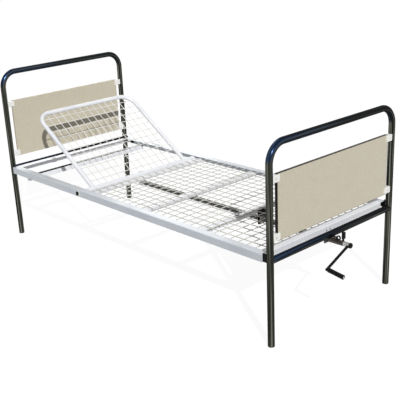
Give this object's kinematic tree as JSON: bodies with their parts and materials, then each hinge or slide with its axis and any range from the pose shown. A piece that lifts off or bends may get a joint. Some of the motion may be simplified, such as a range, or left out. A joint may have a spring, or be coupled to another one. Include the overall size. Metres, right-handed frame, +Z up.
{
  "type": "adjustable bed",
  "caption": "Metal bed with bent tube end frames, laminate panels, a wire mesh base and a backrest raised by a foot-end crank.",
  "frame": {"origin": "on the floor under the middle of the whole outline, crank included", "axes": "+X runs from the head end to the foot end, +Y to the left side of someone lying on it, +Z up"},
  "size_m": [2.2988, 0.9186, 1.024],
  "materials": {
    "dark_chrome": "dark chrome plated steel tube",
    "rail_paint": "light blue-grey gloss paint",
    "mesh_paint": "white gloss paint",
    "deck_wire_coat": "worn grey-white coating on wire",
    "backrest_wire_coat": "off-white coating on wire",
    "panel_laminate": "beige speckled laminate on board",
    "edge_band_brown": "dark brown glued edge band",
    "edge_band_beige": "beige glued edge band",
    "clip_plastic": "white moulded plastic",
    "zinc_steel": "zinc plated steel",
    "black_steel": "black satin paint",
    "drive_steel": "dark grey satin paint",
    "bracket_steel": "brown-grey paint",
    "bearing_plastic": "natural nylon",
    "black_plastic": "black moulded plastic",
    "black_rubber": "black rubber strip",
    "screw_steel": "rolled steel thread"
  },
  "bodies": {
    "bed_frame": {"head_tube_frame": "dark_chrome", "foot_tube_frame": "dark_chrome", "head_crossbar": "dark_chrome", "foot_crossbar": "dark_chrome", "leg_tips": "black_plastic", "head_panel": "panel_laminate", "head_panel_edge_band": "edge_band_beige", "head_panel_clips": "clip_plastic", "head_clip_screws": "zinc_steel", "foot_panel": "panel_laminate", "foot_panel_edge_band": "edge_band_brown", "foot_panel_clips": "clip_plastic", "foot_clip_screws": "zinc_steel", "right_side_rail": "rail_paint", "left_side_rail": "rail_paint", "head_end_rail": "mesh_paint", "foot_end_rail": "mesh_paint", "corner_brackets": "black_steel", "corner_bolts": "black_steel", "hinge_crossbar": "mesh_paint", "middle_crossbar": "mesh_paint", "lower_crossbar": "mesh_paint", "backrest_rest_bar": "mesh_paint", "rest_bar_rubber": "black_rubber", "deck_long_wires": "deck_wire_coat", "deck_cross_wires": "deck_wire_coat", "pivot_bushes": "bearing_plastic", "push_tube_hanger": "black_steel", "hanger_bolts": "black_steel", "push_tube_guide_bush": "bearing_plastic", "crank_bracket": "bracket_steel", "crank_bracket_bolts": "zinc_steel", "crank_bearing_tube": "bracket_steel", "crank_bearing_bushes": "bearing_plastic", "bracket_eye": "black_steel", "crank_rest_clip": "black_plastic"},
    "backrest": {"backrest_tube_frame": "mesh_paint", "backrest_hinge_tube": "mesh_paint", "backrest_long_wires": "backrest_wire_coat", "backrest_cross_wires": "backrest_wire_coat", "hinge_tube_plugs": "zinc_steel", "pivot_bolts": "black_steel", "lift_lever_plates": "mesh_paint", "lever_pin": "zinc_steel"},
    "push_rod": {"push_tube": "drive_steel", "push_tube_eye": "zinc_steel", "travel_nut": "zinc_steel"},
    "crank": {"lead_screw": "screw_steel", "thrust_collar": "zinc_steel", "crank_hub": "drive_steel", "hub_pin": "zinc_steel", "crank_arm": "black_steel", "grip_spindle": "zinc_steel", "grip_retainer": "zinc_steel"},
    "grip": {"crank_grip": "black_plastic"}
  },
  "joints": [
    {"name": "backrest_hinge", "type": "hinge", "parent": "bed_frame", "child": "backrest", "pos_m": [-0.42839, 0, 0.4195], "axis": [0, 1, 0], "range_deg": [-34, 37.5]},
    {"name": "push_rod_slide", "type": "slide", "parent": "bed_frame", "child": "push_rod", "axis": [-1, 0, 0], "range_m": [-0.0278, 0.0306]},
    {"name": "crank_turn", "type": "hinge", "parent": "bed_frame", "child": "crank", "pos_m": [0.96261, 0, 0.3705], "axis": [1, 0, 0], "range_deg": [-2465, 2718]},
    {"name": "grip_spin", "type": "hinge", "parent": "crank", "child": "grip", "pos_m": [1.04691, -0.15407, 0.30351], "axis": [0.9903, -0.1276, -0.0555], "continuous": true}
  ],
  "couplings": [
    {"joint": "push_rod_slide", "follows": "backrest_hinge", "m_per_rad": 0.04606},
    {"joint": "crank_turn", "follows": "backrest_hinge", "ratio": 72.351}
  ]
}
